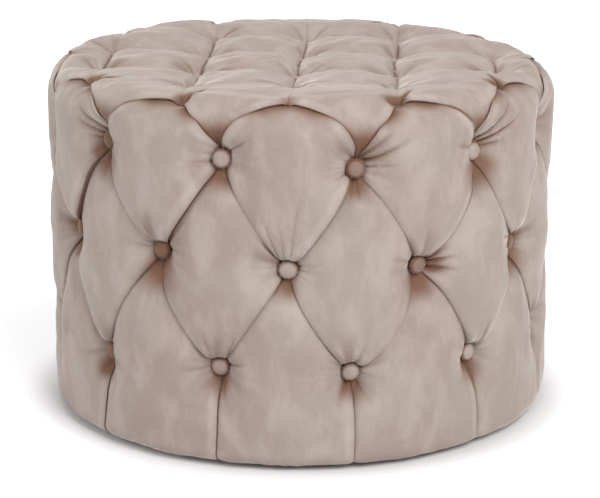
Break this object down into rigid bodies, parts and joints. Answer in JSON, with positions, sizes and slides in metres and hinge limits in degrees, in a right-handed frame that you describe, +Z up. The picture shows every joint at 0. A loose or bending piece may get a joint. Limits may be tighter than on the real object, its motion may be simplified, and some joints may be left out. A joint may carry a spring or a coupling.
{
  "type": "tuffet",
  "caption": "Round deep-buttoned velvet tuffet with a diamond-tufted side and a square-tufted seat, on a padded timber drum with low glides.",
  "frame": {"origin": "on the floor under the middle of the seat, at the bottom centre of the bounding box", "axes": "+Z up through the middle of the seat; -Y towards the front, where the picture was taken; +X to the right seen from the front"},
  "size_m": [0.6, 0.6, 0.4169],
  "materials": {
    "velvet": "taupe velvet with a soft sheen",
    "foam": "matt open-cell foam",
    "plywood": "raw plywood",
    "pine": "planed softwood",
    "hardboard": "smooth brown hardboard",
    "dust_cloth": "black non-woven cloth",
    "glide_plastic": "dark moulded plastic",
    "screw_steel": "zinc-plated steel"
  },
  "bodies": {
    "root": {"side_cover": "velvet", "top_cover": "velvet", "side_foam": "foam", "top_foam": "foam", "drum_wall": "hardboard", "top_board": "plywood", "base_board": "plywood", "dust_cover": "dust_cloth", "post_1": "pine", "lower_screw_1": "screw_steel", "upper_screw_1": "screw_steel", "post_2": "pine", "lower_screw_2": "screw_steel", "upper_screw_2": "screw_steel", "post_3": "pine", "lower_screw_3": "screw_steel", "upper_screw_3": "screw_steel", "post_4": "pine", "lower_screw_4": "screw_steel", "upper_screw_4": "screw_steel", "post_5": "pine", "lower_screw_5": "screw_steel", "upper_screw_5": "screw_steel", "post_6": "pine", "lower_screw_6": "screw_steel", "upper_screw_6": "screw_steel", "glide_1": "glide_plastic", "glide_2": "glide_plastic", "glide_3": "glide_plastic", "glide_4": "glide_plastic", "glide_5": "glide_plastic", "glide_6": "glide_plastic", "column_buttons_1": "velvet", "column_buttons_2": "velvet", "column_buttons_3": "velvet", "column_buttons_4": "velvet", "column_buttons_5": "velvet", "column_buttons_6": "velvet", "column_buttons_7": "velvet", "column_buttons_8": "velvet", "column_buttons_9": "velvet", "column_buttons_10": "velvet", "column_buttons_11": "velvet", "column_buttons_12": "velvet", "middle_buttons_1": "velvet", "middle_buttons_2": "velvet", "middle_buttons_3": "velvet", "middle_buttons_4": "velvet", "middle_buttons_5": "velvet", "middle_buttons_6": "velvet", "seat_buttons_1": "velvet", "seat_buttons_2": "velvet", "seat_buttons_3": "velvet", "seat_buttons_4": "velvet", "seat_buttons_5": "velvet"}
  },
  "joints": []
}
